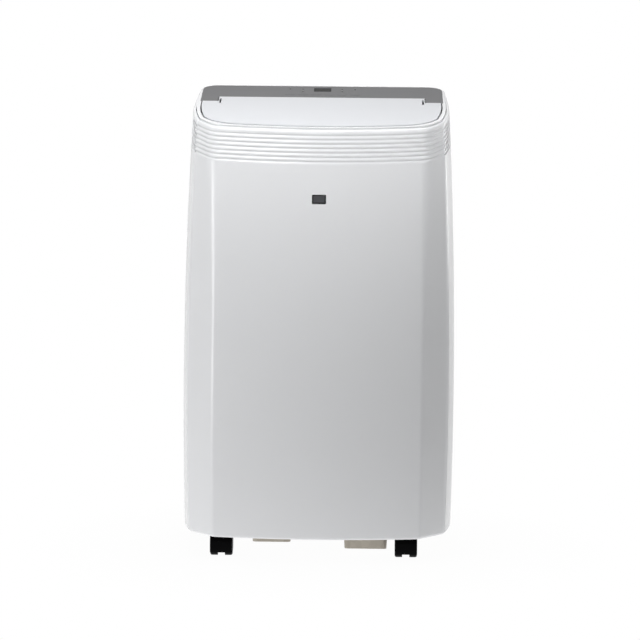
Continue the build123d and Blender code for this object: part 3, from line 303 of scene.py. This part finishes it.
# Each row is a level, a drop below the roof, how far it follows the roof, and an inset
wall = 3
skirt_height = 45.6
skirt_rounding = 6
plain_rows = 63
below_grooves = 54
groove_count = 7
groove_pitch = 6.8
groove_depth = 1.25
first_groove_drop = 8.7
groove_row = 0.7
half_rows = 4
rim_rounding = 4
rim_width = 4.6
inner_rows = 18
inner_drop = 30
rows = []
for turn in (30, 45, 60, 75):
    angle = math.radians(turn)
    level = skirt_height - skirt_rounding * math.cos(angle)
    rows.append((level, 0, 0, skirt_rounding - skirt_rounding * math.sin(angle)))
for step in range(plain_rows + 1):
    rows.append((skirt_height, below_grooves, step / plain_rows, 0))
for number in reversed(range(groove_count)):
    for step in range(half_rows, -half_rows - 1, -1):
        drop = first_groove_drop + groove_pitch * number + groove_row * step
        rows.append((0, drop, 1, groove_depth * math.cos(math.pi * step / (2 * half_rows)) ** 2))
for turn in range(0, 91, 15):
    angle = math.radians(turn)
    drop = rim_rounding - rim_rounding * math.sin(angle)
    rows.append((0, drop, 1, rim_rounding - rim_rounding * math.cos(angle)))
rows += [(0, 0, 1, rim_width), (0, wall, 1, rim_width), (0, wall, 1, wall)]
for step in range(inner_rows, -1, -1):
    rows.append((rows[0][0], inner_drop, step / inner_rows, wall))

bpy.ops.object.select_all(action="DESELECT")
bpy.ops.mesh.primitive_grid_add(
    x_subdivisions=len(columns) - 1, y_subdivisions=len(rows) - 1, size=1,
)
panel = bpy.context.object
panel.name = "front_panel_moulding"
for index, vertex in enumerate(panel.data.vertices):
    side, part, share = columns[index % len(columns)]
    level, drop, follow, inset = rows[index // len(columns)]
    # The roof's height goes with y, so the place is found from a first guess in four rounds
    y = -160
    for _ in range(4):
        roof = roof_front_height + (y - roof_front_y) * roof_rise
        height = level + (roof - drop - level) * follow
        x, y = panel_place(part, share, height, inset)
    vertex.co = (side * x / 1000, y / 1000, height / 1000)
bpy.ops.object.mode_set(mode="EDIT")
bpy.ops.mesh.select_all(action="SELECT")
bpy.ops.mesh.remove_doubles(threshold=0.00001)
bpy.ops.mesh.select_all(action="DESELECT")
bpy.ops.mesh.select_non_manifold(extend=False)
bpy.ops.mesh.edge_face_add()
bpy.ops.mesh.select_all(action="SELECT")
bpy.ops.mesh.normals_make_consistent(inside=False)
bpy.ops.object.mode_set(mode="OBJECT")
# The receiver's opening goes straight through the wall, with rounded corners
window_y = -0.165
window_z = 0.581
window_width = 0.0223
window_height = 0.015
bpy.ops.object.select_all(action="DESELECT")
bpy.ops.mesh.primitive_cube_add(
    size=1, location=(0, window_y, window_z), scale=(window_width, 0.04, window_height),
)
opening = bpy.context.object
bpy.ops.object.transform_apply(location=True, rotation=True, scale=True)
rounding = opening.modifiers.new("corners", "BEVEL")
rounding.width = 0.0015
rounding.segments = 4
bpy.ops.object.modifier_apply(modifier="corners")
cut = panel.modifiers.new("opening", "BOOLEAN")
cut.object = opening
bpy.context.view_layer.objects.active = panel
bpy.ops.object.modifier_apply(modifier="opening")
bpy.data.objects.remove(opening)
panel.select_set(True)
bpy.ops.object.shade_smooth_by_angle(angle=math.radians(80))
panel.data.materials.append(white_abs)
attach(panel, "unit")
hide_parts("front_panel")

# Receiver window and display lens: smoked acrylic, polished, set flush in their openings.
# The window is clipped in from behind the panel, the lens is glued into its recess.
# The window is dark grey with a clean reflection and a band of painted shade round its edge, the
# lens nearly black and matt.
smoked_acrylic, surface, place = new_material("smoked_acrylic", "#3B3B3F", 0.12, IOR=1.49)
# Faint haze of wiping, in patches of about 11 mm
haze = add_node(smoked_acrylic, "ShaderNodeTexNoise", {"Vector": place}, Scale=90, Detail=2)
vary_roughness(smoked_acrylic, surface, haze, 0.1, 0.2)
# A near-black band of painted shade runs round the window's edge, where the gap around it lies,
# narrow above and wider below
gap_shade_outer_x = 0.0111
side_gap_shade = 0.0024
upper_gap_shade = 0.0016
lower_gap_shade = 0.0028
spot = add_node(smoked_acrylic, "ShaderNodeSeparateXYZ", {0: place})
across = add_node(smoked_acrylic, "ShaderNodeMath", {0: spot.outputs["X"]}, operation="ABSOLUTE")
beside = add_node(
    smoked_acrylic, "ShaderNodeMath", {0: across.outputs[0]},
    operation="GREATER_THAN",
)
beside.inputs[1].default_value = gap_shade_outer_x - side_gap_shade
above = add_node(smoked_acrylic, "ShaderNodeMath", {0: spot.outputs["Z"]}, operation="GREATER_THAN")
above.inputs[1].default_value = window_z + window_height / 2 - upper_gap_shade
below = add_node(smoked_acrylic, "ShaderNodeMath", {0: spot.outputs["Z"]}, operation="LESS_THAN")
below.inputs[1].default_value = window_z - window_height / 2 + lower_gap_shade
edge = add_node(
    smoked_acrylic, "ShaderNodeMath", {0: above.outputs[0], 1: below.outputs[0]},
    operation="MAXIMUM",
)
gap_shade = add_node(
    smoked_acrylic, "ShaderNodeMath", {0: beside.outputs[0], 1: edge.outputs[0]},
    operation="MAXIMUM",
)
# Near black where the gap's shade is painted, dark grey inside it
two_tone(smoked_acrylic, surface, gap_shade.outputs[0], "#3B3B3F", "#050506")
dress(smoked_acrylic, "receiver_window")
display_acrylic, surface, place = new_material("display_acrylic", "#161618", 0.5, IOR=1.3)
# The same haze on the matt lens
haze = add_node(display_acrylic, "ShaderNodeTexNoise", {"Vector": place}, Scale=90, Detail=2)
vary_roughness(display_acrylic, surface, haze, 0.45, 0.55)
dress(display_acrylic, "display_lens")

# Top frame and flap: white ABS, the flap a touch cooler and greyer than the casing.
# The frame drops into the casing's opening; the flap turns on pins in the control panel's ears.
# A clean bluish white that picks up the light from above.
flap_abs, surface, place = new_material("flap_abs", "#DADCE0", 0.3, IOR=1.53)
# Fine satin texture, drawn at 1.1 mm so that it shows
grain = add_node(flap_abs, "ShaderNodeTexNoise", {"Vector": place}, Scale=900, Detail=2)
add_relief(flap_abs, surface, grain, strength=0.04, depth=0.0003)
rounded_copy("top_frame", "top_frame_moulding", 0.0008, "unit", white_abs)
rounded_copy("louver_flap", "flap_moulding", 0.0006, "flap", flap_abs)

# Control panel, keys and light guide: grey ABS plate with flush keys and lamp pins painted nearly
# black as the shade of their holes.
# The plate sits on the frame's ledge; the keys press through it, the guide ends in small holes.
# Mid grey, matt, with a fine even grain; the pins are painted nearly black, as the shade in the
# small holes.
grey_abs, surface, place = new_material("grey_abs", "#6B6B6D", 0.5, IOR=1.53)
# Even matt texture, drawn at 1 mm so that it shows
grain = add_node(grey_abs, "ShaderNodeTexNoise", {"Vector": place}, Scale=1000, Detail=2)
add_relief(grey_abs, surface, grain, strength=0.12, depth=0.0003)
dress(grey_abs, *[f"key_{number}" for number in range(1, 7)])
rounded_copy("control_panel", "control_panel_moulding", 0.0007, "unit", grey_abs)
# The pins' near black is painted shade of the small holes the guide ends in
pin_shade_acrylic, surface, place = new_material("lamp_pins_painted_shade", "#08080A", 0.4, IOR=1.25)
# Slight haze on the pins, in patches of about 8 mm
haze = add_node(pin_shade_acrylic, "ShaderNodeTexNoise", {"Vector": place}, Scale=120, Detail=2)
vary_roughness(pin_shade_acrylic, surface, haze, 0.1, 0.25)
dress(pin_shade_acrylic, "light_guide")

# Studio: a round floor of white board with a high white wall that shows in reflections.
# Soft lamps stand above, in front, at the sides and behind; the floor keeps the shadow.
# The camera stands five metres off, a little above and hardly off centre.
floor_radius = 19
wall_height = 14
bpy.ops.object.select_all(action="DESELECT")
bpy.ops.mesh.primitive_circle_add(vertices=128, radius=floor_radius, fill_type="NGON")
floor = bpy.context.object
floor.name = "studio_floor"
bpy.ops.object.mode_set(mode="EDIT")
bpy.ops.mesh.select_mode(type="EDGE")
bpy.ops.mesh.select_all(action="SELECT")
bpy.ops.mesh.region_to_loop()
bpy.ops.mesh.extrude_edges_move(TRANSFORM_OT_translate={"value": (0, 0, wall_height)})
bpy.ops.mesh.select_mode(type="VERT")
bpy.ops.object.mode_set(mode="OBJECT")
white_board = bpy.data.materials.new("white_board")
white_board.use_nodes = True
white_board.node_tree.nodes.clear()
rays = add_node(white_board, "ShaderNodeLightPath")
seen = add_node(
    white_board, "ShaderNodeMath",
    {0: rays.outputs["Is Camera Ray"], 1: rays.outputs["Is Glossy Ray"]}, operation="MAXIMUM",
)
seen = add_node(
    white_board, "ShaderNodeMath",
    {0: seen.outputs[0], 1: rays.outputs["Is Transmission Ray"]}, operation="MAXIMUM",
)
ground = add_node(white_board, "ShaderNodeTexCoord").outputs["Object"]
reach = add_node(white_board, "ShaderNodeVectorMath", {0: ground}, operation="LENGTH")
# Seen, the board is white, a shade less under the object; it throws light only near the object
far = add_node(
    white_board, "ShaderNodeMapRange", {"Value": reach.outputs["Value"]},
    **{"From Min": 0.2, "From Max": 0.5, "To Min": 0.97, "To Max": 1.0},
)
near = add_node(
    white_board, "ShaderNodeMapRange", {"Value": reach.outputs["Value"]},
    **{"From Min": 0.25, "From Max": 0.8, "To Min": 1.0, "To Max": 0.0},
)
share = add_node(
    white_board, "ShaderNodeMix",
    {2: near.outputs["Result"], 3: far.outputs["Result"], 0: seen.outputs[0]},
)
paper = add_node(white_board, "ShaderNodeBsdfDiffuse", Color=(0.85, 0.85, 0.85, 1))
glow = add_node(white_board, "ShaderNodeEmission", Color=(1, 1, 1, 1), Strength=1.0)
mixed = add_node(
    white_board, "ShaderNodeMixShader",
    {0: share.outputs[0], 1: paper.outputs[0], 2: glow.outputs[0]},
)
add_node(white_board, "ShaderNodeOutputMaterial", {"Surface": mixed.outputs[0]})
floor.data.materials.append(white_board)

scene = bpy.context.scene
scene.view_settings.view_transform = "Standard"
world = bpy.data.worlds.new("studio")
scene.world = world
world.use_nodes = True
world.node_tree.nodes.clear()
ambient = add_node(world, "ShaderNodeBackground", Color=(1, 1, 1, 1), Strength=0.02)
add_node(world, "ShaderNodeOutputWorld", {"Surface": ambient.outputs[0]})

# Each lamp is a name, its place, what it aims at, its width and length, and its watts
for name, place, aim, width, length, power in (
    ("top", (0, 0.4, 2.6), (0, 0, 0.6), 1.2, 1.2, 21.5),
    ("key", (-0.3, -0.5, 1.2), (0, -0.2, 0.6), 0.5, 0.2, 3.2),
    ("front", (0.1, -0.7, 0.9), (0.05, -0.2, 0.62), 0.5, 0.15, 1.0),
    ("front_right", (0.5, -0.5, 0.95), (0.1, -0.2, 0.62), 0.25, 0.15, 1.1),
    ("left_side", (-1.2, -0.6, 0.35), (-0.2, -0.1, 0.3), 0.3, 0.6, 4.8),
    ("left_back", (-1.7, 1.6, 0.8), (0, 0, 0.4), 1.0, 1.0, 1.2),
    ("right_side", (2.2, -0.25, 0.7), (0, 0, 0.4), 0.8, 0.8, 0.6),
    ("right_back", (1.7, 1.6, 0.8), (0, 0, 0.4), 1.0, 1.0, 12),
):
    lamp = bpy.data.lights.new(name, "AREA")
    lamp.shape = "RECTANGLE"
    lamp.size = width
    lamp.size_y = length
    lamp.energy = power
    holder = bpy.data.objects.new(name, lamp)
    scene.collection.objects.link(holder)
    holder.location = place
    holder.rotation_euler = (Vector(aim) - Vector(place)).to_track_quat("-Z", "Y").to_euler()

lens_data = bpy.data.cameras.new("camera")
camera = bpy.data.objects.new("camera", lens_data)
scene.collection.objects.link(camera)
target = Vector((0, 0, 0.385))
rise = math.radians(6)
swing = math.radians(0.9)
tilt = math.radians(0.55)
distance = 5
image_size = 640
level = math.cos(rise)
away = Vector((math.sin(swing) * level, -math.cos(swing) * level, math.sin(rise)))
camera.location = target + away * distance
look = (-away).to_track_quat("-Z", "Y").to_matrix()
camera.rotation_euler = (look @ Matrix.Rotation(tilt, 3, "Z")).to_euler()
lens_data.lens = 172.6
lens_data.sensor_width = 36
lens_data.shift_x = 0.4 / image_size
lens_data.shift_y = -7.5 / image_size
lens_data.clip_end = 100
scene.camera = camera
